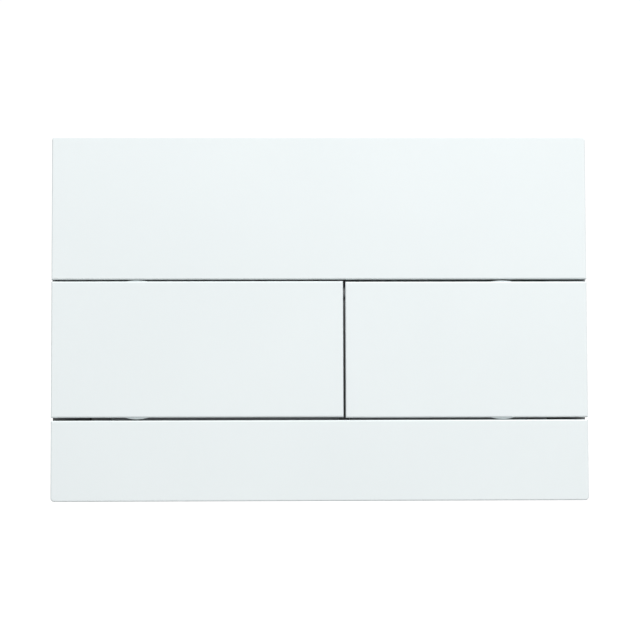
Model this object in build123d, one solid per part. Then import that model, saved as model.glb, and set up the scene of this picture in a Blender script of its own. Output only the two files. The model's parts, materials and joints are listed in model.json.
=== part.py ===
from build123d import *
import math
import os

# Dual flush button plate for a concealed cistern, in millimetres.
# X runs across the plate, Y into the wall and Z up. The origin is on the wall plane, behind the
# middle of the plate, so the front face lies at negative Y.

# Plate face
plate_width = 220.0
plate_height = 150.0
lower_panel_height = 33.05
button_height = 55.85
full_button_width = 119.6
lower_gap = 1.0  # between the lower panel and the buttons
upper_gap = 1.0  # between the buttons and the upper panel
split_gap = 0.95  # between the two buttons
full_button_lift = 0.25  # the wide button sits this much high in its band
edge_radius = 0.6  # rounding of the front edges
outer_corner = 1.5  # the plate's own four corners, the corners at the gaps being square
skin = 2.0  # front wall of panels and caps

# Spacing lobes on the top and bottom edges of the caps
lobe_offset = 75.0  # from the plate's centre line
lobe_chord = 9.6
top_lobe = 0.5  # height
bottom_lobe = 0.7
lobe_setback = 1.2  # behind the front face
lobe_root = 1.0  # depth to which a lobe is rooted in the cap's edge

# Walls of the panels and caps
side_wall = 1.8  # flanges round the plate
gap_wall = 1.6  # flanges along the gaps
panel_return = 0.8  # depth of the lower panel's gap flange behind the skin
gap_flange_fit = 0.4  # from the upper panel's deep gap flange to the carrier's rail
cap_return = 1.2  # depth of a cap's flanges behind the skin
wall_clearance = 0.5  # side flanges stop this far from the wall
panel_rib = 1.0  # thickness of the ribs behind the panels, as deep as the lower gap flange

# Hinges
press_angle = 6.5  # degrees
hinge_drop = 4.5  # axis below the top edge of the band
pin_radius = 1.25
barrel_wall = 1.35
barrel_length = 10.0
barrel_fit = 0.1  # pin in the barrels, all round
lug_fit = 0.05  # pin in the lugs, all round
lug_width = 4.0
hinge_side_fit = 0.3  # between barrels and lugs
hinge_clearance = 0.4  # between barrels and the caps
flange_notch = 0.6  # room left round a lug in the caps' inner flanges

# Carrier
rim_fit = 0.3  # inside the panels' side flanges
rim_wall = 1.8
deck = 2.0
boss_height = 2.5  # from the panels' skin to the deck
deck_setback = 2.0  # upper deck starts this far above the panel's edge
web = 1.6
rail = 1.4
rail_gap = 0.3  # behind the hinge barrels
rail_drop = 4.0  # below the hinge axis
rail_standoff = 0.2  # from the mounting flange
bar_fit = 0.1  # between the side bars and the mounting flange
cheek_inset = 0.05  # of the carrier's cheeks beside the buttons, from the plate's sides
cheek_fit = 0.3  # between the cheeks and the panels
swing_clearance = 0.4  # between the pressed caps and the bars
seat_post_radius = 3.0
seat_post_offset = 15.0  # each side of a hook
deck_rib = 1.2
deck_rib_height = 2.0
deck_cross_rib = 18.0  # above the upper deck's web

# Rockers
rocker = 1.6
rocker_fit = 0.4  # behind the caps' flanges
rocker_drop = 5.0  # top edge below the hinge axis
rocker_side_fit = 0.3  # inside the caps' inner flanges
rocker_window_fit = 0.5  # inside the mounting frame's window
rocker_rib = 1.2
rocker_rib_wall = 1.4
lip_reach = 4.0  # below the band, behind the lower panel
lip_clearance = 1.5
pad_radius = 6.0
pad_height = 1.5
bumper_length = 10.0
bumper_inset = 12.0
bumper_margin = 0.2
bumper_fit = 0.1  # between a bumper and the lower panel

# Mounting frame
mount_flange = 1.5
mount_margin = 12.1  # inside the carrier's rim
mount_rail = 8.0  # width of the flange round the window
mount_corner = 6.0
window_corner = 4.0
collar_wall = 2.0
collar_depth = 12.0
hook_inset = 25.0  # from the outer panel screws
hook_width = 8.0
hook_arm = 1.6
hook_barb = 1.2
hook_tip = 1.5
hook_fit = 0.2
bridge = 4.0
bridge_rise = 9.0  # above the rods
bridge_drop = 15.5  # below the rods, to behind the lower gap
bridge_rib = 3.0
bridge_rib_wall = 1.5
guide_wall = 2.35
guide_length = 12.0
guide_fit = 0.15
shelf = 2.5
shelf_reach = 20.0
shelf_height = 26.0
shelf_setback = 3.5  # from the collar's back edge
gusset = 2.0

# Push rods
rod_inset = 22.0  # from the inner edge of each button
rod_rise = 12.5  # above the bottom edge of the band
rod_gap = 0.3  # between a rod's head and its pad
rod_head_radius = 7.4
rod_dome_radius = 24.0
rod_head_depth = 2.5
stem_radius = 5.0
stem_past_guide = 2.0
rod_radius = 3.0
rod_fit = 0.05
rod_end = 60.0
socket_depth = 14.0
tip_radius = 2.4
tip_length = 6.0
tip_chamfer = 0.5
nut_across_flats = 10.0
nut_height = 4.0
spring_wire = 0.7
spring_clearance = 0.8  # between the coil and the stem
spring_fit = 0.1  # at each end
spring_turns = 5
spring_sides = 8  # flats round the wire

# Fixing screws
fixing_inset = 10.0  # from the window's side
fixing_radius = 4.0
fixing_fit = 0.4
fixing_neck_radius = 3.4
fixing_neck_past_shelf = 1.5
fixing_end = 50.0
fixing_head_radius = 7.0
fixing_head = 5.0
knurl_count = 12
knurl_radius = 0.9
fixing_slot = 2.0
fixing_slot_depth = 2.2

# Small screws
panel_screw_side = 25.0  # from the plate's sides
panel_screw_end = 12.0  # from the panels' ends
lower_screw_end = 13.0
panel_screw_radius = 1.2
panel_head_radius = 3.0
panel_head = 1.6
button_screw_inset = 7.0  # from the rocker's sides
button_screw_rise = 6.0  # above the band's bottom edge
button_screw_drop = 11.0  # below the hinge axis
button_screw_radius = 0.9
button_head_radius = 2.2
button_head = 1.3
thread_fit = 0.05  # in a pilot hole
hole_fit = 0.3  # in a clearance hole
boss_wall = 1.75
pilot_in_skin = 0.7

# Depths, from the wall plane to the front
barrel_radius = pin_radius + barrel_wall
plate_depth = (
    mount_flange + rail_standoff + rail + rail_gap + 2 * barrel_radius + hinge_clearance + skin
)
front_y = -plate_depth
skin_y = front_y + skin
panel_gap_y = skin_y + panel_return
cap_y = skin_y + cap_return
rocker_y = cap_y + rocker_fit
rocker_back_y = rocker_y + rocker
pad_y = rocker_back_y + pad_height
deck_y = skin_y + boss_height
deck_back_y = deck_y + deck
hinge_y = skin_y + hinge_clearance + barrel_radius
rail_y = hinge_y + barrel_radius + rail_gap
rail_back_y = rail_y + rail
upper_gap_y = rail_y - gap_flange_fit
flange_y = -mount_flange
panel_back_y = -wall_clearance
bridge_y = collar_depth - bridge
guide_back_y = bridge_y + guide_length
head_y = pad_y + rod_gap
head_back_y = head_y + rod_head_depth
stem_back_y = guide_back_y + stem_past_guide
shelf_y = collar_depth - shelf_setback - shelf

# Heights on the plate
plate_top = plate_height / 2
plate_bottom = -plate_height / 2
lower_panel_top = plate_bottom + lower_panel_height
band_bottom = lower_panel_top + lower_gap
band_top = band_bottom + button_height
upper_panel_bottom = band_top + upper_gap
hinge_z = band_top - hinge_drop
rocker_top = hinge_z - rocker_drop
rocker_bottom = band_bottom - lip_reach
upper_deck_bottom = upper_panel_bottom + deck_setback
lower_deck_top = rocker_bottom - lip_clearance
rod_z = band_bottom + rod_rise

# Places across the plate
plate_left = -plate_width / 2
plate_right = plate_width / 2
full_inner = plate_left + full_button_width
half_inner = full_inner + split_gap
rim_x = plate_right - side_wall - rim_fit
rim_z = plate_top - side_wall - rim_fit
mount_x = rim_x - rim_wall - mount_margin
mount_z = rim_z - rim_wall - mount_margin
window_x = mount_x - mount_rail
window_z = mount_z - mount_rail
rocker_outer = window_x - rocker_window_fit
full_rocker_inner = full_inner - gap_wall - rocker_side_fit
half_rocker_inner = half_inner + gap_wall + rocker_side_fit
centre_lug = (full_rocker_inner + hinge_side_fit, half_rocker_inner - hinge_side_fit)
outer_lug = rocker_outer + hinge_side_fit
pin_outer = outer_lug + lug_width
pin_split = (centre_lug[0] + centre_lug[1]) / 2
hook_z = window_z + mount_rail / 2
hook_x = plate_right - panel_screw_side - hook_inset
fixing_x = window_x - fixing_inset
guide_radius = stem_radius + guide_fit

full_cap_box = (plate_left, full_inner, band_bottom + full_button_lift, band_top + full_button_lift)
half_cap_box = (half_inner, plate_right, band_bottom, band_top)
full_rocker_span = (-rocker_outer, full_rocker_inner)
half_rocker_span = (half_rocker_inner, rocker_outer)
full_rod_x = full_inner - rod_inset
half_rod_x = half_inner + rod_inset

panel_screw_x = (plate_left + panel_screw_side, 0.0, plate_right - panel_screw_side)
upper_screw_places = [
    (x, z)
    for x in panel_screw_x
    for z in (upper_panel_bottom + panel_screw_end, plate_top - panel_screw_end)
]
lower_screw_places = [(x, plate_bottom + lower_screw_end) for x in panel_screw_x]


def facing(y):
    # Drawing plane across the plate at depth y, so that an extrusion grows towards the front
    return Plane(origin=(0, y, 0), x_dir=(1, 0, 0), z_dir=(0, -1, 0))


def slab(x0, x1, y0, y1, z0, z1):
    centre = Pos((x0 + x1) / 2, (y0 + y1) / 2, (z0 + z1) / 2)
    return centre * Box(x1 - x0, y1 - y0, z1 - z0)


def drum(x, z, radius, y0, y1):
    return extrude(facing(y1) * Pos(x, z) * Circle(radius), amount=y1 - y0)


def rod_across(radius, x0, x1, y, z):
    return extrude(Plane.YZ.offset(x0) * Pos(y, z) * Circle(radius), amount=x1 - x0)


def section_across(points, x0, x1):
    # A section drawn in Y and Z, drawn out along X
    face = make_face(Polyline(*points, close=True))
    return extrude(Plane.YZ.offset(x0) * face, amount=x1 - x0)


def turned(points, x, z):
    # A half section of radius and depth, turned about a line along Y
    face = make_face(Polyline(*points, close=True))
    return Pos(x, 0, z) * revolve(face, Axis.Y)


def tile(x0, x1, z0, z1, back_y):
    outline = Pos((x0 + x1) / 2, (z0 + z1) / 2) * Rectangle(x1 - x0, z1 - z0)
    outer = outline.vertices().filter_by(lambda corner: math.isclose(abs(corner.Y), plate_top))
    if outer:
        outline = fillet(outer, outer_corner)
    block = extrude(facing(back_y) * outline, amount=back_y - front_y)
    return fillet(block.faces().sort_by(Axis.Y)[0].edges(), edge_radius)


def pilot_boss(x, z, screw_radius, end_y):
    radius = screw_radius + thread_fit + boss_wall
    return drum(x, z, radius, skin_y, end_y)


def pilot_hole(x, z, screw_radius, end_y):
    return drum(x, z, screw_radius + thread_fit, skin_y - pilot_in_skin, end_y)


def panel(z0, z1, gap_below, gap_y, places):
    # Tray with side flanges to the wall and a flange to depth gap_y along the gap to the buttons
    x0 = plate_left + side_wall
    x1 = plate_right - side_wall
    gap_z = (z0, z0 + gap_wall) if gap_below else (z1 - gap_wall, z1)
    inner_z = (gap_z[1], z1 - side_wall) if gap_below else (z0 + side_wall, gap_z[0])
    tray = tile(plate_left, plate_right, z0, z1, panel_back_y)
    tray -= slab(x0, x1, skin_y, panel_back_y, *inner_z)
    tray -= slab(x0, x1, gap_y, panel_back_y, *gap_z)
    for x in sorted({x for x, z in places}):
        tray += slab(x - panel_rib / 2, x + panel_rib / 2, skin_y, panel_gap_y, *inner_z)
    for z in sorted({z for x, z in places}):
        tray += slab(x0, x1, skin_y, panel_gap_y, z - panel_rib / 2, z + panel_rib / 2)
    for x, z in places:
        tray += pilot_boss(x, z, panel_screw_radius, deck_y)
    for x, z in places:
        tray -= pilot_hole(x, z, panel_screw_radius, deck_y)
    return tray


def button_screw_places(span):
    return [
        (x, z)
        for x in (span[0] + button_screw_inset, span[1] - button_screw_inset)
        for z in (band_bottom + button_screw_rise, hinge_z - button_screw_drop)
    ]


def lobe(x, z_edge, rise):
    # Low rounded swelling on a cap's edge that spaces it from the panel
    root_z = z_edge - math.copysign(lobe_root, rise)
    start = (x - lobe_chord / 2, z_edge)
    end = (x + lobe_chord / 2, z_edge)
    outline = [
        ThreePointArc(start, (x, z_edge + rise), end),
        Polyline(end, (end[0], root_z), (start[0], root_z), start),
    ]
    return extrude(facing(cap_y) * make_face(outline), amount=cap_y - front_y - lobe_setback)


def button_cap(box, inner_flange, lobe_x, span):
    x0, x1, z0, z1 = box
    cap = tile(x0, x1, z0, z1, cap_y)
    cap -= slab(x0 + gap_wall, x1 - gap_wall, skin_y, cap_y, z0 + gap_wall, z1 - gap_wall)
    notch = barrel_radius + flange_notch
    cap -= slab(*inner_flange, skin_y, cap_y, hinge_z - notch, hinge_z + notch)
    cap += lobe(lobe_x, z1, top_lobe)
    cap += lobe(lobe_x, z0, -bottom_lobe)
    for x, z in button_screw_places(span):
        cap += pilot_boss(x, z, button_screw_radius, rocker_y)
    for x, z in button_screw_places(span):
        cap -= pilot_hole(x, z, button_screw_radius, rocker_y)
    return cap


def button_rocker(span, rod_x):
    # Ribbed lever with hinge barrels at its top corners and a rest lip along its bottom
    x0, x1 = span
    lever = slab(x0, x1, rocker_y, rocker_back_y, rocker_bottom, rocker_top)
    rib_y = rocker_back_y + rocker_rib
    ring = slab(x0, x1, rocker_back_y, rib_y, band_bottom, rocker_top)
    ring -= slab(
        x0 + rocker_rib_wall,
        x1 - rocker_rib_wall,
        rocker_back_y,
        rib_y,
        band_bottom + rocker_rib_wall,
        rocker_top - rocker_rib_wall,
    )
    lever += ring
    half_rib = rocker_rib_wall / 2
    lever += slab(rod_x - half_rib, rod_x + half_rib, rocker_back_y, rib_y, band_bottom, rocker_top)
    lever += slab(x0, x1, rocker_back_y, rib_y, rod_z - half_rib, rod_z + half_rib)
    lever += drum(rod_x, rod_z, pad_radius, rocker_back_y, pad_y)
    for start in (x0, x1 - barrel_length):
        end = start + barrel_length
        lever += slab(start, end, rocker_y, rocker_back_y, rocker_top, hinge_z)
        lever += rod_across(barrel_radius, start, end, hinge_y, hinge_z)
    lever -= rod_across(pin_radius + barrel_fit, x0, x1, hinge_y, hinge_z)
    for x, z in button_screw_places(span):
        lever -= drum(x, z, button_screw_radius + hole_fit, rocker_y, rocker_back_y)
    return lever


def rest_bumpers(span):
    x0, x1 = span
    z0 = rocker_bottom + bumper_margin
    z1 = lower_panel_top - bumper_margin
    starts = (x0 + bumper_inset, x1 - bumper_inset - bumper_length)
    return [slab(x, x + bumper_length, panel_gap_y + bumper_fit, rocker_y, z0, z1) for x in starts]


def hinge_pin(outer_x, inner_x):
    return rod_across(pin_radius, min(outer_x, inner_x), max(outer_x, inner_x), hinge_y, hinge_z)


def pressed_y(z):
    # Depth of the back edge of a fully pressed cap at height z
    angle = math.radians(press_angle)
    return hinge_y + (cap_y - hinge_y) / math.cos(angle) - (z - hinge_z) * math.tan(angle)


def swing_wedge(x0, x1, z0, z1, setback):
    # Wedge from the wall plane to just behind the cap's swing
    angle = math.radians(press_angle)
    bend_z = hinge_z + (cap_y - hinge_y) * math.tan(angle / 2)
    top_y = cap_y + setback
    low_z = max(z0, bend_z + top_y / math.tan(angle))
    points = [(0, low_z), (top_y, bend_z), (top_y, z1), (0, z1)]
    if low_z == z0:
        points.insert(1, (pressed_y(z0) + setback, z0))
    return section_across(points, x0, x1)


def side_bar(x0, x1, z0, z1):
    # Hollow wedge beside the buttons, open towards the wall
    bar = swing_wedge(x0, x1, z0, z1, swing_clearance)
    return bar - swing_wedge(x0 + web, x1 - web, z0, z1 - web, swing_clearance + web)


def hinge_lug(x0, x1):
    stem = slab(x0, x1, hinge_y, rail_back_y, hinge_z - barrel_radius, hinge_z + barrel_radius)
    return stem + rod_across(barrel_radius, x0, x1, hinge_y, hinge_z)


def hook_places():
    return [(x, side) for x in (-hook_x, hook_x) for side in (-1, 1)]


def deck_ribs():
    # Ribs behind both decks, running through the posts that stand on the mounting flange
    ribs = []
    rib_y = deck_back_y + deck_rib_height
    cross_z = upper_deck_bottom + web + deck_cross_rib
    ribs.append(slab(-rim_x, rim_x, deck_back_y, rib_y, cross_z - deck_rib / 2, cross_z + deck_rib / 2))
    for centre, side in hook_places():
        z0, z1 = (upper_deck_bottom, rim_z) if side > 0 else (-rim_z, lower_deck_top)
        for x in (centre - seat_post_offset, centre + seat_post_offset):
            ribs.append(slab(x - deck_rib / 2, x + deck_rib / 2, deck_back_y, rib_y, z0, z1))
            ribs.append(drum(x, side * hook_z, seat_post_radius, deck_back_y, flange_y))
    return ribs


def make_carrier():
    upper_section = [
        (0, rim_z),
        (deck_y, rim_z),
        (deck_y, upper_deck_bottom),
        (rail_y, upper_deck_bottom),
        (rail_y, hinge_z - rail_drop),
        (rail_back_y, hinge_z - rail_drop),
        (rail_back_y, upper_deck_bottom + web),
        (deck_back_y, upper_deck_bottom + web),
        (deck_back_y, rim_z - rim_wall),
        (0, rim_z - rim_wall),
    ]
    lower_section = [
        (0, -rim_z),
        (deck_y, -rim_z),
        (deck_y, lower_deck_top),
        (rail_back_y, lower_deck_top),
        (rail_back_y, lower_deck_top - web),
        (deck_back_y, lower_deck_top - web),
        (deck_back_y, -rim_z + rim_wall),
        (0, -rim_z + rim_wall),
    ]
    carrier = section_across(upper_section, -rim_x, rim_x)
    carrier += section_across(lower_section, -rim_x, rim_x)
    bar_foot = lower_deck_top - web
    bar_head = upper_deck_bottom + web
    cheek_foot = lower_panel_top + cheek_fit
    cheek_head = upper_panel_bottom - cheek_fit
    for side in (-1, 1):
        x0, x1 = sorted((side * rim_x, side * (rim_x - rim_wall)))
        bar = sorted((side * rim_x, side * (mount_x + bar_fit)))
        carrier += slab(x0, x1, deck_y, 0, upper_deck_bottom, rim_z)
        carrier += slab(x0, x1, deck_y, 0, -rim_z, lower_deck_top)
        carrier += slab(*bar, deck_y, 0, bar_foot, lower_deck_top)
        carrier += side_bar(*bar, bar_foot, cheek_head)
        carrier += slab(*bar, rail_y, 0, cheek_head, bar_head)
        carrier += slab(*bar, deck_y, rail_y, upper_deck_bottom, bar_head)
        cheek = sorted((side * rim_x, side * (plate_right - cheek_inset)))
        carrier += swing_wedge(*cheek, cheek_foot, cheek_head, swing_clearance)
    carrier += swing_wedge(*centre_lug, bar_foot, hinge_z, swing_clearance)
    carrier += slab(*centre_lug, deck_y, 0, bar_foot, lower_deck_top)
    for x0, x1 in ((-pin_outer, -outer_lug), centre_lug, (outer_lug, pin_outer)):
        carrier += hinge_lug(x0, x1)
    carrier -= rod_across(pin_radius + lug_fit, -pin_outer, pin_outer, hinge_y, hinge_z)
    carrier += deck_ribs()
    for x, side in hook_places():
        inner = side * (hook_z - hook_arm / 2 - hook_barb - hook_fit)
        outer = side * (hook_z + hook_arm / 2 + hook_fit)
        half = hook_width / 2 + hook_fit
        carrier -= slab(x - half, x + half, deck_y, deck_back_y, *sorted((inner, outer)))
    for x, z in upper_screw_places + lower_screw_places:
        carrier -= drum(x, z, panel_screw_radius + hole_fit, deck_y, deck_back_y)
    return carrier


def snap_hook(x, side):
    # Arm through the deck with a barb that catches its front face
    root = side * (hook_z - hook_arm / 2)
    back = side * (hook_z + hook_arm / 2)
    barb = side * (hook_z + hook_arm / 2 + hook_barb)
    catch_y = deck_y - hook_fit
    tip_y = catch_y - hook_tip
    points = [
        (flange_y, root),
        (tip_y, root),
        (tip_y, back),
        (catch_y, barb),
        (catch_y, back),
        (flange_y, back),
    ]
    return section_across(points, x - hook_width / 2, x + hook_width / 2)


def rod_bridge():
    low = rod_z - bridge_drop
    high = rod_z + bridge_rise
    rib_y = bridge_y - bridge_rib
    points = [
        (collar_depth, low),
        (rib_y, low),
        (rib_y, low + bridge_rib_wall),
        (bridge_y, low + bridge_rib_wall),
        (bridge_y, high - bridge_rib_wall),
        (rib_y, high - bridge_rib_wall),
        (rib_y, high),
        (collar_depth, high),
    ]
    bar = section_across(points, -window_x, window_x)
    for x in (full_rod_x, half_rod_x):
        bar += drum(x, rod_z, guide_radius + guide_wall, bridge_y, guide_back_y)
        bar -= drum(x, rod_z, guide_radius, bridge_y, guide_back_y)
    return bar


def fixing_shelf(side):
    # Shelf inside the collar for a fixing screw, with two gussets to the collar's side
    wall = side * window_x
    end = side * (window_x - shelf_reach)
    x0, x1 = min(wall, end), max(wall, end)
    part = slab(x0, x1, shelf_y, shelf_y + shelf, -shelf_height / 2, shelf_height / 2)
    for z in (-shelf_height / 2, shelf_height / 2 - gusset):
        corners = [(wall, shelf_y), (end, shelf_y), (wall, 0)]
        face = make_face(Polyline(*corners, close=True))
        part += extrude(Plane.XY.offset(z) * face, amount=gusset)
    part -= drum(side * fixing_x, 0, fixing_radius + fixing_fit, shelf_y, shelf_y + shelf)
    return part


def make_mounting_frame():
    outline = RectangleRounded(2 * mount_x, 2 * mount_z, mount_corner)
    window = RectangleRounded(2 * window_x, 2 * window_z, window_corner)
    collar = RectangleRounded(
        2 * (window_x + collar_wall), 2 * (window_z + collar_wall), window_corner + collar_wall
    )
    frame = extrude(facing(0) * (outline - window), amount=mount_flange)
    frame += extrude(facing(collar_depth) * (collar - window), amount=collar_depth)
    frame += rod_bridge()
    for side in (-1, 1):
        frame += fixing_shelf(side)
    for x, side in hook_places():
        frame += snap_hook(x, side)
    return frame


def make_rod_head(x):
    def dome_y(radius):
        return head_y + rod_dome_radius - math.sqrt(rod_dome_radius**2 - radius**2)

    socket = rod_radius + rod_fit
    rim = (rod_head_radius, dome_y(rod_head_radius))
    dome = ThreePointArc((0, head_y), (rod_head_radius / 2, dome_y(rod_head_radius / 2)), rim)
    side = Polyline(
        rim,
        (rod_head_radius, head_back_y),
        (stem_radius, head_back_y),
        (stem_radius, stem_back_y),
        (socket, stem_back_y),
        (socket, stem_back_y - socket_depth),
        (0, stem_back_y - socket_depth),
        (0, head_y),
    )
    return Pos(x, 0, rod_z) * revolve(make_face([dome, side]), Axis.Y)


def make_push_rod(x):
    tip_y = rod_end - tip_length
    points = [
        (0, stem_back_y - socket_depth + rod_gap),
        (rod_radius, stem_back_y - socket_depth + rod_gap),
        (rod_radius, tip_y),
        (tip_radius, tip_y),
        (tip_radius, rod_end - tip_chamfer),
        (tip_radius - tip_chamfer, rod_end),
        (0, rod_end),
    ]
    return turned(points, x, rod_z)


def make_locknut(x):
    hexagon = RegularPolygon(nut_across_flats / 2, 6, major_radius=False)
    outline = Pos(x, rod_z) * (hexagon - Circle(rod_radius + rod_fit))
    return extrude(facing(stem_back_y + nut_height) * outline, amount=nut_height)


def make_return_spring(x):
    coil_radius = stem_radius + spring_clearance + spring_wire / 2
    start_y = head_back_y + spring_fit + spring_wire / 2
    length = bridge_y - spring_fit - spring_wire / 2 - start_y
    coil = Helix(pitch=length / spring_turns, height=length, radius=coil_radius)
    section = RegularPolygon(spring_wire / 2, spring_sides)
    wire = Plane(origin=coil @ 0, z_dir=coil % 0) * section
    spring = sweep(wire, path=coil, is_frenet=True)
    return Pos(x, start_y, rod_z) * Rot(-90, 0, 0) * spring


def make_fixing_screw(side):
    neck_y = shelf_y + shelf + fixing_neck_past_shelf
    head_front_y = shelf_y - fixing_head
    points = [
        (0, head_front_y),
        (fixing_head_radius, head_front_y),
        (fixing_head_radius, shelf_y),
        (fixing_neck_radius, shelf_y),
        (fixing_neck_radius, neck_y),
        (fixing_radius, neck_y),
        (fixing_radius, fixing_end),
        (0, fixing_end),
    ]
    screw = turned(points, side * fixing_x, 0)
    for step in range(knurl_count):
        angle = 2 * math.pi * step / knurl_count
        x = side * fixing_x + fixing_head_radius * math.cos(angle)
        z = fixing_head_radius * math.sin(angle)
        screw -= drum(x, z, knurl_radius, head_front_y, shelf_y)
    slot_end = head_front_y + fixing_slot_depth
    reach = fixing_head_radius
    centre = side * fixing_x
    half_slot = fixing_slot / 2
    screw -= slab(centre - reach, centre + reach, head_front_y, slot_end, -half_slot, half_slot)
    return screw


def small_screw(x, z, radius, head_radius, head_height, seat_y):
    # Flat head seated at seat_y, with a shank forward to the skin
    points = [
        (0, seat_y + head_height),
        (head_radius, seat_y + head_height),
        (head_radius, seat_y),
        (radius, seat_y),
        (radius, skin_y),
        (0, skin_y),
    ]
    return turned(points, x, z)


def make_panel_screws():
    return [
        small_screw(x, z, panel_screw_radius, panel_head_radius, panel_head, deck_back_y)
        for x, z in upper_screw_places + lower_screw_places
    ]


def make_button_screws(span):
    return [
        small_screw(x, z, button_screw_radius, button_head_radius, button_head, rocker_back_y)
        for x, z in button_screw_places(span)
    ]


nodes = {
    "upper_panel": panel(upper_panel_bottom, plate_top, True, upper_gap_y, upper_screw_places),
    "lower_panel": panel(plate_bottom, lower_panel_top, False, panel_gap_y, lower_screw_places),
    "full_button_cap": button_cap(
        full_cap_box, (full_inner - gap_wall, full_inner), -lobe_offset, full_rocker_span
    ),
    "half_button_cap": button_cap(
        half_cap_box, (half_inner, half_inner + gap_wall), lobe_offset, half_rocker_span
    ),
    "carrier_frame": make_carrier(),
    "mounting_frame": make_mounting_frame(),
    "full_rocker": button_rocker(full_rocker_span, full_rod_x),
    "half_rocker": button_rocker(half_rocker_span, half_rod_x),
    "full_hinge_pin": hinge_pin(-pin_outer, pin_split - hinge_side_fit / 2),
    "half_hinge_pin": hinge_pin(pin_outer, pin_split + hinge_side_fit / 2),
    "full_rest_bumpers": rest_bumpers(full_rocker_span),
    "half_rest_bumpers": rest_bumpers(half_rocker_span),
    "full_button_screws": make_button_screws(full_rocker_span),
    "half_button_screws": make_button_screws(half_rocker_span),
    "panel_screws": make_panel_screws(),
    "full_rod_head": make_rod_head(full_rod_x),
    "half_rod_head": make_rod_head(half_rod_x),
    "full_push_rod": make_push_rod(full_rod_x),
    "half_push_rod": make_push_rod(half_rod_x),
    "full_rod_locknut": make_locknut(full_rod_x),
    "half_rod_locknut": make_locknut(half_rod_x),
    "full_return_spring": make_return_spring(full_rod_x),
    "half_return_spring": make_return_spring(half_rod_x),
    "fixing_screw_left": make_fixing_screw(-1),
    "fixing_screw_right": make_fixing_screw(1),
}

os.makedirs("parts", exist_ok=True)
for name, shape in nodes.items():
    solids = shape if isinstance(shape, list) else [shape]
    export_step(Compound(children=solids) if len(solids) > 1 else solids[0], f"parts/{name}.step")
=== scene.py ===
import json
import math

import bmesh
import bpy
from mathutils import Matrix, Vector


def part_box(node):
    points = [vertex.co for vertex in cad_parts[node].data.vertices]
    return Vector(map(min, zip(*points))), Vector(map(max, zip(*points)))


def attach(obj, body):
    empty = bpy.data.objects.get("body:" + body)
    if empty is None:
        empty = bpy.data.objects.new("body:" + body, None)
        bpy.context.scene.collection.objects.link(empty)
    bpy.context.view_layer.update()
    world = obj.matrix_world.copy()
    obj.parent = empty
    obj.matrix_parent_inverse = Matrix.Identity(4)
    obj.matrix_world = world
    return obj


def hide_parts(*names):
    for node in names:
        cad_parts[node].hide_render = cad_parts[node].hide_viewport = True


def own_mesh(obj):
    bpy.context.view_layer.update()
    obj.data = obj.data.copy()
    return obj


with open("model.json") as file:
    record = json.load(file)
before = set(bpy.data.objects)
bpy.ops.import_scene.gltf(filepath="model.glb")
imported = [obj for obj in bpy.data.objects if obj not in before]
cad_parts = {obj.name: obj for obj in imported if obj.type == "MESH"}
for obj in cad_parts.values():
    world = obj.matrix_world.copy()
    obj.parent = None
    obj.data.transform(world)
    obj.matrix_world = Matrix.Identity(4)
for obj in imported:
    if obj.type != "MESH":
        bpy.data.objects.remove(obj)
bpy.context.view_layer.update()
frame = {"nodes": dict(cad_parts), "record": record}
nodes = frame["nodes"]
mm = 0.001  # the frame is in metres
print("frame loaded,", len(nodes), "nodes")


# Shader helpers

noiseLow = 0.3  # nearly all of a noise lies between these two values
noiseHigh = 0.7
noiseDetail = {"broad": 2.0, "fine": 3.0, "tarnish": 4.0}
mixSockets = {"dark": 6, "light": 7, "result": 2}  # the colour sockets of a mix node
edgeSamples = 6  # rays that soften an edge
white = (1, 1, 1, 1)


def noiseOf(tree, spot, size, detail):
    noise = tree.nodes.new("ShaderNodeTexNoise")
    noise.inputs["Scale"].default_value = 1 / size
    noise.inputs["Detail"].default_value = noiseDetail[detail]
    tree.links.new(spot, noise.inputs["Vector"])
    return noise.outputs["Fac"]


def stretched(tree, spot, scale):
    mapping = tree.nodes.new("ShaderNodeMapping")
    mapping.inputs["Scale"].default_value = scale
    tree.links.new(spot, mapping.inputs["Vector"])
    return mapping.outputs["Vector"]


def spanOf(tree, value, low, high):
    span = tree.nodes.new("ShaderNodeMapRange")
    span.inputs["From Min"].default_value = noiseLow
    span.inputs["From Max"].default_value = noiseHigh
    span.inputs["To Min"].default_value = low
    span.inputs["To Max"].default_value = high
    tree.links.new(value, span.inputs["Value"])
    return span.outputs["Result"]


def tintOf(tree, value, dark, light):
    tint = tree.nodes.new("ShaderNodeMix")
    tint.data_type = "RGBA"
    tint.inputs[mixSockets["dark"]].default_value = (*dark, 1)
    tint.inputs[mixSockets["light"]].default_value = (*light, 1)
    tree.links.new(value, tint.inputs["Factor"])
    return tint.outputs[mixSockets["result"]]


def mathOf(tree, operation, first, second):
    worked = tree.nodes.new("ShaderNodeMath")
    worked.operation = operation
    tree.links.new(first, worked.inputs[0])
    tree.links.new(second, worked.inputs[1])
    return worked.outputs[0]


def bumpOf(tree, height, depth, strength, normal=None):
    bump = tree.nodes.new("ShaderNodeBump")
    bump.inputs["Strength"].default_value = strength
    bump.inputs["Distance"].default_value = depth
    tree.links.new(height, bump.inputs["Height"])
    if normal:
        tree.links.new(normal, bump.inputs["Normal"])
    return bump.outputs["Normal"]


def softEdges(tree, radius):
    bevel = tree.nodes.new("ShaderNodeBevel")
    bevel.samples = edgeSamples
    bevel.inputs["Radius"].default_value = radius
    return bevel.outputs["Normal"]


def newFinish(name):
    finish = bpy.data.materials.new(name)
    finish.use_nodes = True
    tree = finish.node_tree
    return finish, tree, tree.nodes["Principled BSDF"]


def pieceSpot(tree):
    # Texture coordinates that stay with the piece
    return tree.nodes.new("ShaderNodeTexCoord").outputs["Object"]


def setColour(tree, shader, noise, look):
    tint = tintOf(tree, spanOf(tree, noise, 0, 1), look["dark"], look["light"])
    tree.links.new(tint, shader.inputs["Base Color"])


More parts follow.
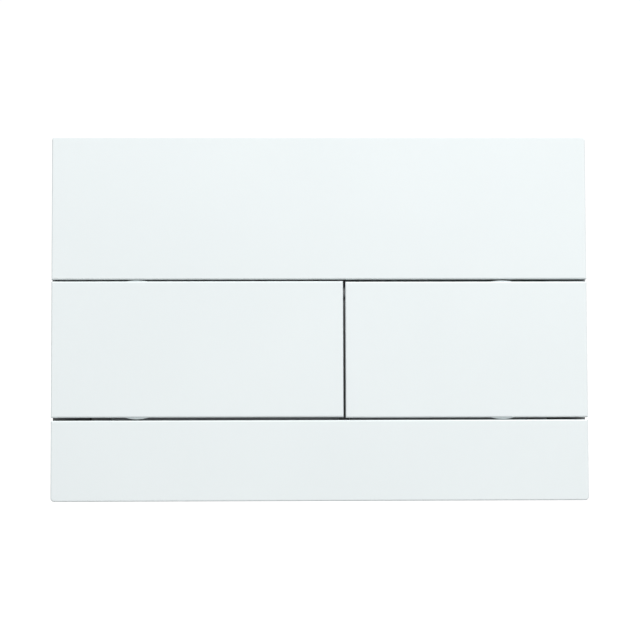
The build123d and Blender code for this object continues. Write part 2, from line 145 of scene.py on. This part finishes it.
def setRoughness(tree, shader, noise, look):
    low = look["roughness"] - look["roughSpread"]
    high = look["roughness"] + look["roughSpread"]
    tree.links.new(spanOf(tree, noise, low, high), shader.inputs["Roughness"])


# Moulded plastics: a broad drift of colour, a fine spark texture and soft edges

patchSpread = 0.3  # share by which the grain's roughness rises and falls from patch to patch


def mouldedPlastic(name, look):
    finish, tree, shader = newFinish(name)
    spot = pieceSpot(tree)
    setColour(tree, shader, noiseOf(tree, spot, look["driftSize"], "broad"), look)
    grain = noiseOf(tree, spot, look["grainSize"], "fine")
    patch = noiseOf(tree, spot, look["patchSize"], "broad")
    patchy = mathOf(tree, "MULTIPLY", grain, spanOf(tree, patch, 1 - patchSpread, 1 + patchSpread))
    setRoughness(tree, shader, patchy, look)
    edge = softEdges(tree, look["edge"]) if look["edge"] else None
    normal = bumpOf(tree, grain, look["grainDepth"], look["grainStrength"], edge)
    tree.links.new(normal, shader.inputs["Normal"])
    shader.inputs["IOR"].default_value = look["ior"]
    return finish


coverLook = {  # the covers' edges are round already, so edge is 0
    "dark": (0.815, 0.870, 0.878), "light": (0.835, 0.890, 0.897), "driftSize": 90 * mm,
    "grainSize": 0.35 * mm, "grainDepth": 0.006 * mm, "grainStrength": 0.25, "patchSize": 14 * mm,
    "roughness": 0.36, "roughSpread": 0.03, "edge": 0, "ior": 1.49,
}
carrierLook = {
    "dark": (0.180, 0.185, 0.190), "light": (0.210, 0.215, 0.220), "driftSize": 30 * mm,
    "grainSize": 0.30 * mm, "grainDepth": 0.02 * mm, "grainStrength": 0.5, "patchSize": 9 * mm,
    "roughness": 0.58, "roughSpread": 0.08, "edge": 0.25 * mm, "ior": 1.5,
}
leverLook = {
    "dark": (0.165, 0.172, 0.180), "light": (0.200, 0.208, 0.218), "driftSize": 30 * mm,
    "grainSize": 0.28 * mm, "grainDepth": 0.015 * mm, "grainStrength": 0.45, "patchSize": 8 * mm,
    "roughness": 0.48, "roughSpread": 0.07, "edge": 0.25 * mm, "ior": 1.5,
}
frameLook = {
    "dark": (0.570, 0.592, 0.602), "light": (0.620, 0.640, 0.650), "driftSize": 50 * mm,
    "grainSize": 0.32 * mm, "grainDepth": 0.015 * mm, "grainStrength": 0.4, "patchSize": 10 * mm,
    "roughness": 0.46, "roughSpread": 0.07, "edge": 0.25 * mm, "ior": 1.5,
}
rodLook = {
    "dark": (0.745, 0.745, 0.700), "light": (0.800, 0.800, 0.760), "driftSize": 12 * mm,
    "grainSize": 0.22 * mm, "grainDepth": 0.006 * mm, "grainStrength": 0.35, "patchSize": 5 * mm,
    "roughness": 0.34, "roughSpread": 0.05, "edge": 0.15 * mm, "ior": 1.48,
}
blueLook = {
    "dark": (0.030, 0.125, 0.300), "light": (0.042, 0.155, 0.350), "driftSize": 12 * mm,
    "grainSize": 0.22 * mm, "grainDepth": 0.008 * mm, "grainStrength": 0.35, "patchSize": 5 * mm,
    "roughness": 0.36, "roughSpread": 0.06, "edge": 0.15 * mm, "ior": 1.5,
}
rubberLook = {
    "dark": (0.020, 0.020, 0.020), "light": (0.034, 0.034, 0.034), "driftSize": 4 * mm,
    "grainSize": 0.12 * mm, "grainDepth": 0.02 * mm, "grainStrength": 0.6, "patchSize": 2 * mm,
    "roughness": 0.80, "roughSpread": 0.08, "edge": 0.10 * mm, "ior": 1.45,
}


# Steel: a fine grain, drawn out into lines on the pins, with a little tarnish

def drawnSteel(name, look):
    finish, tree, shader = newFinish(name)
    spot = pieceSpot(tree)
    setColour(tree, shader, noiseOf(tree, spot, look["tarnishSize"], "tarnish"), look)
    lines = noiseOf(tree, stretched(tree, spot, look["drawn"]), look["lineSize"], "fine")
    setRoughness(tree, shader, lines, look)
    normal = bumpOf(tree, lines, look["lineDepth"], look["lineStrength"])
    tree.links.new(normal, shader.inputs["Normal"])
    shader.inputs["Metallic"].default_value = 1.0
    return finish


springLook = {
    "dark": (0.50, 0.50, 0.50), "light": (0.62, 0.62, 0.61), "tarnishSize": 2.5 * mm,
    "drawn": (1, 1, 1), "lineSize": 0.12 * mm, "lineDepth": 0.004 * mm, "lineStrength": 0.3,
    "roughness": 0.26, "roughSpread": 0.06,
}
pinLook = {**springLook, "drawn": (0.05, 1, 1), "roughness": 0.22}  # lines along the pin
screwLook = {
    "dark": (0.56, 0.56, 0.54), "light": (0.68, 0.67, 0.63), "tarnishSize": 1.6 * mm,
    "drawn": (1, 1, 1), "lineSize": 0.15 * mm, "lineDepth": 0.005 * mm, "lineStrength": 0.35,
    "roughness": 0.32, "roughSpread": 0.08,
}

finishes = {
    "white_cover": mouldedPlastic("satinWhiteCover", coverLook),
    "grey_carrier": mouldedPlastic("greyCarrier", carrierLook),
    "grey_lever": mouldedPlastic("greyLever", leverLook),
    "pale_frame": mouldedPlastic("paleMountingFrame", frameLook),
    "rod_plastic": mouldedPlastic("paleRodPlastic", rodLook),
    "blue_rod_plastic": mouldedPlastic("blueRodPlastic", blueLook),
    "bumper_rubber": mouldedPlastic("blackBumperRubber", rubberLook),
    "spring_steel": drawnSteel("drawnSpringSteel", springLook),
    "screw_steel": drawnSteel("zincScrewSteel", screwLook),
}
pinSteel = drawnSteel("drawnPinSteel", pinLook)

for part in frame["record"]["subparts"]:
    mesh = nodes[part["node"]].data
    mesh.materials.clear()
    mesh.materials.append(finishes[part["material_slot"]])
for name in ("full_hinge_pin", "half_hinge_pin"):
    nodes[name].data.materials[0] = pinSteel
print("finishes set on", len(nodes), "nodes")


# Pieces are built from rings of points, in millimetres

sharpAngle = math.radians(34)  # edges that turn more than this stay sharp
samePoint = 0.001 * mm  # points of a CAD node that are closer than this are one
roundSteps = 8  # faces in a quarter round
roundProfile = 0.5  # makes a bevel round


def newMesh(name, built):
    bmesh.ops.recalc_face_normals(built, faces=built.faces)
    mesh = bpy.data.meshes.new(name)
    built.to_mesh(mesh)
    built.free()
    mesh.shade_smooth()
    mesh.set_sharp_from_angle(angle=sharpAngle)
    return mesh


def skin(built, rings, bored=False):
    # Faces from ring to ring; a bored piece closes on itself in place of the two end faces
    count = len(rings[0])
    for first, second in zip(rings, rings[1:] + rings[:1] if bored else rings[1:]):
        for point in range(count):
            after = (point + 1) % count
            built.faces.new((first[point], first[after], second[after], second[point]))
    if not bored:
        built.faces.new(rings[0])
        built.faces.new(rings[-1])


def spun(profile, columns, radiusAt, bored=False):
    # profile lists (radius, y) along the piece, and radiusAt shapes each ring
    built = bmesh.new()
    rings = []
    for radius, y in profile:
        ring = []
        for column in range(columns):
            angle = math.tau * column / columns
            r = radiusAt(radius, y, angle)
            ring.append(built.verts.new((r * math.cos(angle), y, r * math.sin(angle))))
        rings.append(ring)
    skin(built, rings, bored)
    return built


def steps(low, high, size):
    count = max(1, round((high - low) / size))
    return [low + (high - low) * step / count for step in range(count + 1)]


def roundEdge(outer, y, inward, along):
    # Quarter round from the side at y to a point further in and further along
    turns = [math.pi / 2 * step / roundSteps for step in range(roundSteps + 1)]
    return [(outer - inward * (1 - math.cos(turn)), y + along * math.sin(turn)) for turn in turns]


def threadRows(look, radius, low, high):
    return [(radius, y) for y in steps(low, high, look["pitch"] / look["rowsPerPitch"])]


def threadDip(look, low, high, y, angle):
    # Depth below the crest of a right hand thread, fading out at low and high
    rise = abs(2 * ((y / look["pitch"] + angle / math.tau) % 1) - 1)
    flank = min(1, max(0, (rise - look["flat"]) / (1 - 2 * look["flat"])))
    fade = min(1, max(0, min(y - low, high - y) / look["runOut"]))
    return look["dip"] * flank * fade


def cut(mesh, cutter):
    # The mesh with the cutter's shape taken out
    holder = bpy.data.objects.new("cutHolder", mesh)
    tool = bpy.data.objects.new("cutTool", cutter)
    for thing in (holder, tool):
        bpy.context.scene.collection.objects.link(thing)
    difference = holder.modifiers.new("cut", "BOOLEAN")
    difference.operation = "DIFFERENCE"
    difference.solver = "EXACT"
    difference.object = tool
    bpy.context.view_layer.update()
    made = bpy.data.meshes.new_from_object(holder.evaluated_get(bpy.context.evaluated_depsgraph_get()))
    bpy.data.objects.remove(holder)
    bpy.data.objects.remove(tool)
    made.set_sharp_from_angle(angle=sharpAngle)
    return made


def islandsOf(node):
    # Corner boxes of a CAD node's separate solids
    built = bmesh.new()
    built.from_mesh(nodes[node].data)
    bmesh.ops.remove_doubles(built, verts=built.verts, dist=samePoint)
    boxes = []
    left = set(built.verts)
    while left:
        group = set()
        waiting = [left.pop()]
        while waiting:
            point = waiting.pop()
            group.add(point)
            for link in point.link_edges:
                other = link.other_vert(point)
                if other in left:
                    left.remove(other)
                    waiting.append(other)
        spans = [[point.co[axis] / mm for point in group] for axis in range(3)]
        boxes.append(([min(span) for span in spans], [max(span) for span in spans]))
    built.free()
    return sorted(boxes)


def boxOf(node):
    low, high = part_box(node)
    return low / mm, high / mm


def axisOf(low, high):
    # x and z of the line along Y through the middle of a box
    return (low[0] + high[0]) / 2, (low[2] + high[2]) / 2


def placePiece(name, meshes, body, slot, *replaced):
    # One piece from meshes given as (mesh, x, z), scaled to metres
    built = bmesh.new()
    for mesh, x, z in meshes:
        start = len(built.verts)
        built.from_mesh(mesh)
        built.verts.ensure_lookup_table()
        bmesh.ops.translate(built, verts=built.verts[start:], vec=(x, 0, z))
    bmesh.ops.scale(built, verts=built.verts, vec=(mm, mm, mm))
    joined = bpy.data.meshes.new(name)
    built.to_mesh(joined)
    built.free()
    joined.materials.append(finishes[slot])
    piece = bpy.data.objects.new(name, joined)
    bpy.context.scene.collection.objects.link(piece)
    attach(piece, body)
    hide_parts(*replaced)
    return piece


# Push rods with a trapezoid thread up to the plain tip

rodForm = {
    "columns": 48, "rowsPerPitch": 12, "lead": 0.6,  # lead: chamfers at the ends of the thread
    "pitch": 2.0, "dip": 0.65, "flat": 0.20, "runOut": 1.2,  # flat: share of the pitch at crest and at root
    "tip": 6.0, "tipRadius": 2.4, "tipChamfer": 0.5,
}


def pushRod(side, look):
    node = side + "_push_rod"
    low, high = boxOf(node)
    radius = (high.x - low.x) / 2
    tipY = high.y - look["tip"]
    profile = [(radius - look["lead"], low.y)]
    profile += threadRows(look, radius, low.y + look["lead"], tipY - look["lead"])
    profile += [
        (look["tipRadius"], tipY), (look["tipRadius"], high.y - look["tipChamfer"]),
        (look["tipRadius"] - look["tipChamfer"], high.y),
    ]

    def radiusAt(r, y, angle):
        return r - threadDip(look, low.y, tipY, y, angle) if r == radius else r

    mesh = newMesh(side + "ThreadedRod", spun(profile, look["columns"], radiusAt))
    placePiece(side + "ThreadedRod", [(mesh, *axisOf(low, high))], side + "_rod", "rod_plastic", node)


# Locknuts with corners cut off by a cone at both faces

nutForm = {
    "columns": 96, "sides": 6, "bore": 3.04, "boreChamfer": 0.45,
    "cone": 1.7, "coneRows": 7, "coneStep": 0.12, "faceShare": 0.97,  # the cone starts inside the flats
}


def locknut(side, look):
    node = side + "_rod_locknut"
    low, high = boxOf(node)
    apothem = (high.z - low.z) / 2
    corner = (high.x - low.x) / 2
    sideAngle = math.tau / look["sides"]
    fromFace = [look["coneStep"] * row for row in range(look["coneRows"])]
    rows = [low.y + d for d in fromFace] + [high.y - d for d in reversed(fromFace)]
    bore = look["bore"]
    chamfer = look["boreChamfer"]
    profile = [(bore + chamfer, low.y)] + [(corner, y) for y in rows]
    profile += [(bore + chamfer, high.y), (bore, high.y - chamfer), (bore, low.y + chamfer)]

    def radiusAt(r, y, angle):
        if r != corner:
            return r
        flats = apothem / math.cos(angle % sideAngle - sideAngle / 2)
        return min(flats, apothem * look["faceShare"] + look["cone"] * min(y - low.y, high.y - y))

    mesh = newMesh(side + "ChamferedNut", spun(profile, look["columns"], radiusAt, bored=True))
    placePiece(side + "ChamferedNut", [(mesh, *axisOf(low, high))], side + "_rod", "blue_rod_plastic", node)


# Return springs with a closed turn at both ends

springForm = {
    "wire": 0.7, "wireSides": 12, "turns": 6.5, "perTurn": 40,
    "closedTurns": 1.0, "closedPitch": 0.72, "pressed": 0.5,  # pressed: share of its length at full press
}


def returnSpring(side, look):
    node = side + "_return_spring"
    low, high = boxOf(node)
    wireRadius = look["wire"] / 2
    coilRadius = (high.x - low.x) / 2 - wireRadius
    start = low.y + wireRadius
    length = high.y - low.y - look["wire"]
    closed = look["closedTurns"]
    openPitch = (length - 2 * closed * look["closedPitch"]) / (look["turns"] - 2 * closed)

    def heightAt(turn):
        if turn < closed:
            return turn * look["closedPitch"]
        if turn > look["turns"] - closed:
            return length - (look["turns"] - turn) * look["closedPitch"]
        return closed * look["closedPitch"] + (turn - closed) * openPitch

    built = bmesh.new()
    rings = []
    for step in range(round(look["turns"] * look["perTurn"]) + 1):
        turn = step / look["perTurn"]
        angle = -math.tau * turn
        ring = []
        for corner in range(look["wireSides"]):
            around = math.tau * corner / look["wireSides"]
            r = coilRadius + wireRadius * math.cos(around)
            y = start + heightAt(turn) + wireRadius * math.sin(around)
            ring.append(built.verts.new((r * math.cos(angle), y, r * math.sin(angle))))
        rings.append(ring)
    skin(built, rings)
    mesh = newMesh(side + "ClosedSpring", built)
    x, z = axisOf(low, high)
    spring = placePiece(side + "ClosedSpring", [(mesh, x, z)], "frame", "spring_steel", node)
    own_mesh(spring)


# Fixing screws: knurled, slotted head and a coarse thread

fixingForm = {
    "columns": 144, "headRadius": 7.0, "headEdge": 0.6, "head": 5.0, "knurls": 12, "knurlRadius": 0.9,
    "slot": 2.0, "slotDepth": 2.2, "slotEdge": 0.25, "slotEdgeSteps": 3, "slotPast": 1.0,
    "neck": 4.0, "neckRadius": 3.4, "radius": 4.0, "point": 1.0,
    "pitch": 2.5, "dip": 0.6, "flat": 0.25, "runOut": 1.5, "rowsPerPitch": 12,
}


def slotMesh(look, front):
    # Slab with round edges that reaches past the head at both ends and in front
    reach = look["headRadius"] + look["slotPast"]
    size = (2 * reach, look["slotDepth"] + look["slotPast"], look["slot"])
    middleY = front + (look["slotDepth"] - look["slotPast"]) / 2
    built = bmesh.new()
    bmesh.ops.create_cube(built, size=1)
    bmesh.ops.scale(built, verts=built.verts, vec=size)
    bmesh.ops.translate(built, verts=built.verts, vec=(0, middleY, 0))
    bmesh.ops.bevel(
        built, geom=built.edges[:], offset=look["slotEdge"], segments=look["slotEdgeSteps"],
        profile=roundProfile, affect="EDGES",
    )
    return newMesh("slotTool", built)


def fixingScrew(side, look):
    node = "fixing_screw_" + side
    low, high = boxOf(node)
    edge = look["headEdge"]
    seat = low.y + look["head"]
    neckEnd = seat + look["neck"]
    full = look["headRadius"]
    profile = roundEdge(full, low.y + edge, edge, -edge)[::-1] + roundEdge(full, seat - edge, edge, edge)
    profile += [(look["neckRadius"], seat), (look["neckRadius"], neckEnd - edge)]
    profile += threadRows(look, look["radius"], neckEnd, high.y - look["point"])
    profile.append((look["radius"] - look["point"], high.y))
    knurlAngle = math.tau / look["knurls"]

    def radiusAt(r, y, angle):
        if r == look["radius"]:
            return r - threadDip(look, neckEnd, high.y, y, angle)
        if r <= look["neckRadius"]:
            return r
        across = full * math.sin((angle + knurlAngle / 2) % knurlAngle - knurlAngle / 2)
        if abs(across) >= look["knurlRadius"]:
            return r
        return min(r, math.sqrt(full**2 - across**2) - math.sqrt(look["knurlRadius"]**2 - across**2))

    mesh = newMesh(side + "FixingScrew", spun(profile, look["columns"], radiusAt))
    slotted = cut(mesh, slotMesh(look, low.y))
    placePiece(side + "FixingScrew", [(slotted, *axisOf(low, high))], "frame", "blue_rod_plastic", node)


# Small screws: pan heads with a tapered cross recess

panelScrewForm = {
    "columns": 48, "head": 1.6, "radius": 1.2, "shoulder": 0.55, "crown": 0.68,
    "cross": 3.3, "crossWidth": 0.8, "crossDepth": 1.15, "crossTaper": 0.45, "crossAbove": 0.4,
    "pitch": 0.9, "dip": 0.25, "flat": 0.15, "runOut": 0.5, "rowsPerPitch": 8, "point": 0.4,
}
buttonScrewForm = {
    **panelScrewForm, "head": 1.3, "radius": 0.9, "shoulder": 0.4,
    "cross": 2.5, "crossWidth": 0.6, "crossDepth": 0.95, "pitch": 0.8, "dip": 0.2,
}


def crossMesh(look, top):
    # Cross drawn above the head and again, smaller, at the bottom of the recess
    built = bmesh.new()
    reach = look["cross"] / 2
    half = look["crossWidth"] / 2
    corner = [(reach, -half), (reach, half), (half, half)]
    outline = []
    for quarter in range(4):
        turn = Matrix.Rotation(math.pi / 2 * quarter, 2)
        outline += [turn @ Vector(point) for point in corner]
    slope = (1 - look["crossTaper"]) / look["crossDepth"]
    rings = []
    for depth in (-look["crossAbove"], look["crossDepth"]):
        size = 1 - slope * depth
        rings.append([built.verts.new((size * p.x, top - depth, size * p.y)) for p in outline])
    skin(built, rings)
    return newMesh("crossTool", built)


def smallScrews(name, node, body, look):
    islands = islandsOf(node)
    low, high = islands[0]
    headRadius = (high[0] - low[0]) / 2
    tip = low[1]
    top = high[1]
    seat = top - look["head"]
    crownIn = headRadius * (1 - look["crown"])
    profile = [(look["radius"] - look["point"], tip)]
    profile += threadRows(look, look["radius"], tip + look["point"], seat)
    profile.append((headRadius, seat))
    profile += roundEdge(headRadius, seat + look["shoulder"], crownIn, look["head"] - look["shoulder"])

    def radiusAt(r, y, angle):
        return r - threadDip(look, tip, seat, y, angle) if r == look["radius"] else r

    mesh = cut(newMesh(name, spun(profile, look["columns"], radiusAt)), crossMesh(look, top))
    placePiece(name, [(mesh, *axisOf(*box)) for box in islands], body, "screw_steel", node)


for side in ("full", "half"):
    pushRod(side, rodForm)
    locknut(side, nutForm)
    returnSpring(side, springForm)
    smallScrews(side + "ButtonScrewSet", side + "_button_screws", side + "_button", buttonScrewForm)
for side in ("left", "right"):
    fixingScrew(side, fixingForm)
smallScrews("panelScrewSet", "panel_screws", "frame", panelScrewForm)
print("threaded pieces, nuts, springs and screws built")


# Rubber bumpers with rounded edges

bumperForm = {"weld": 0.002 * mm, "edge": 0.3 * mm, "segments": 3}

for side in ("full", "half"):
    bumpers = nodes[side + "_rest_bumpers"]
    bumpers.modifiers.new("weld", "WELD").merge_threshold = bumperForm["weld"]
    rounding = bumpers.modifiers.new("rounding", "BEVEL")
    rounding.width = bumperForm["edge"]
    rounding.segments = bumperForm["segments"]
print("bumpers rounded")


# Floor with a swept backdrop, in metres like the light and the camera

stageLook = {
    "floorZ": -0.32, "front": -3.0, "wallY": 2.4, "bend": 0.9, "top": 3.2, "halfWidth": 3.5, "bendSteps": 16,
    "colour": (0.40, 0.40, 0.40), "roughness": 0.9, "gloss": 0.0, "whitening": 0.80,
}


def whiteForCamera(tree):
    # 1 for what the camera sees, directly, in gloss or through glass
    path = tree.nodes.new("ShaderNodeLightPath")
    seen = path.outputs["Is Camera Ray"]
    for ray in ("Is Glossy Ray", "Is Transmission Ray"):
        seen = mathOf(tree, "MAXIMUM", seen, path.outputs[ray])
    return seen


def makeStage(look):
    line = [(look["front"], look["floorZ"])]
    centre = (look["wallY"] - look["bend"], look["floorZ"] + look["bend"])
    for step in range(look["bendSteps"] + 1):
        angle = math.pi / 2 * step / look["bendSteps"]
        line.append((centre[0] + look["bend"] * math.sin(angle), centre[1] - look["bend"] * math.cos(angle)))
    line.append((look["wallY"], look["top"]))
    points = [(x, y, z) for y, z in line for x in (-look["halfWidth"], look["halfWidth"])]
    faces = [(2 * i, 2 * i + 1, 2 * i + 3, 2 * i + 2) for i in range(len(line) - 1)]
    mesh = bpy.data.meshes.new("floorSweep")
    mesh.from_pydata(points, [], faces)
    mesh.shade_smooth()
    sweep = bpy.data.objects.new("floorSweep", mesh)
    bpy.context.scene.collection.objects.link(sweep)

    finish, tree, shader = newFinish("paleFloor")
    shader.inputs["Base Color"].default_value = (*look["colour"], 1)
    shader.inputs["Roughness"].default_value = look["roughness"]
    shader.inputs["Specular IOR Level"].default_value = look["gloss"]
    shader.inputs["Emission Color"].default_value = white
    lift = tree.nodes.new("ShaderNodeMath")
    lift.operation = "MULTIPLY"
    lift.inputs[1].default_value = look["whitening"]
    tree.links.new(whiteForCamera(tree), lift.inputs[0])
    tree.links.new(lift.outputs[0], shader.inputs["Emission Strength"])
    mesh.materials.append(finish)


makeStage(stageLook)


# Light: an even pale surround, a large softbox high in front and a weaker one behind

surroundLook = {"colour": (0.985, 0.985, 0.985), "strength": 0.512, "seenStrength": 1.0}  # seen, it is white
frontBoxLook = {"place": (0.34, -1.25, 1.2), "size": 1.1, "power": 26.0}
backBoxLook = {"place": (-0.7, 1.5, 1.3), "size": 1.2, "power": 14.0}


def backgroundOf(tree, colour, strength):
    background = tree.nodes.new("ShaderNodeBackground")
    background.inputs["Color"].default_value = colour
    background.inputs["Strength"].default_value = strength
    return background.outputs[0]


def makeSurround(look):
    world = bpy.data.worlds.new("paleSurround")
    bpy.context.scene.world = world
    world.use_nodes = True
    tree = world.node_tree
    tree.nodes.clear()
    mix = tree.nodes.new("ShaderNodeMixShader")
    tree.links.new(whiteForCamera(tree), mix.inputs["Fac"])
    tree.links.new(backgroundOf(tree, (*look["colour"], 1), look["strength"]), mix.inputs[1])
    tree.links.new(backgroundOf(tree, white, look["seenStrength"]), mix.inputs[2])
    tree.links.new(mix.outputs[0], tree.nodes.new("ShaderNodeOutputWorld").inputs["Surface"])


def makeSoftbox(name, look):
    # Square lamp that faces the middle of the plate
    lamp = bpy.data.lights.new(name, "AREA")
    lamp.shape = "SQUARE"
    lamp.size = look["size"]
    lamp.energy = look["power"]
    box = bpy.data.objects.new(name, lamp)
    bpy.context.scene.collection.objects.link(box)
    box.location = look["place"]
    box.rotation_euler = (-Vector(look["place"])).to_track_quat("-Z", "Y").to_euler()


makeSurround(surroundLook)
makeSoftbox("frontSoftbox", frontBoxLook)
makeSoftbox("backSoftbox", backBoxLook)
print("stage and light set")


# Camera: a little low and left of the plate, looking up at it

cameraLook = {
    "place": (-0.0227, -1.0, -0.0758), "turnRight": 1.32, "tiltUp": 4.33, "roll": -0.20,  # degrees
    "focalLength": 135.97, "sensor": 36.0, "nearest": 0.01,
}


def makeCamera(look):
    lens = bpy.data.cameras.new("camera")
    lens.sensor_fit = "HORIZONTAL"
    lens.sensor_width = look["sensor"]
    lens.lens = look["focalLength"]
    lens.clip_start = look["nearest"]
    camera = bpy.data.objects.new("camera", lens)
    bpy.context.scene.collection.objects.link(camera)
    turn = Matrix.Rotation(math.radians(-look["turnRight"]), 4, "Z")
    tilt = Matrix.Rotation(math.radians(90 + look["tiltUp"]), 4, "X")
    roll = Matrix.Rotation(math.radians(look["roll"]), 4, "Z")
    camera.matrix_world = Matrix.Translation(look["place"]) @ turn @ tilt @ roll
    bpy.context.scene.camera = camera


makeCamera(cameraLook)
bpy.context.scene.view_settings.view_transform = "Standard"
print("camera set")
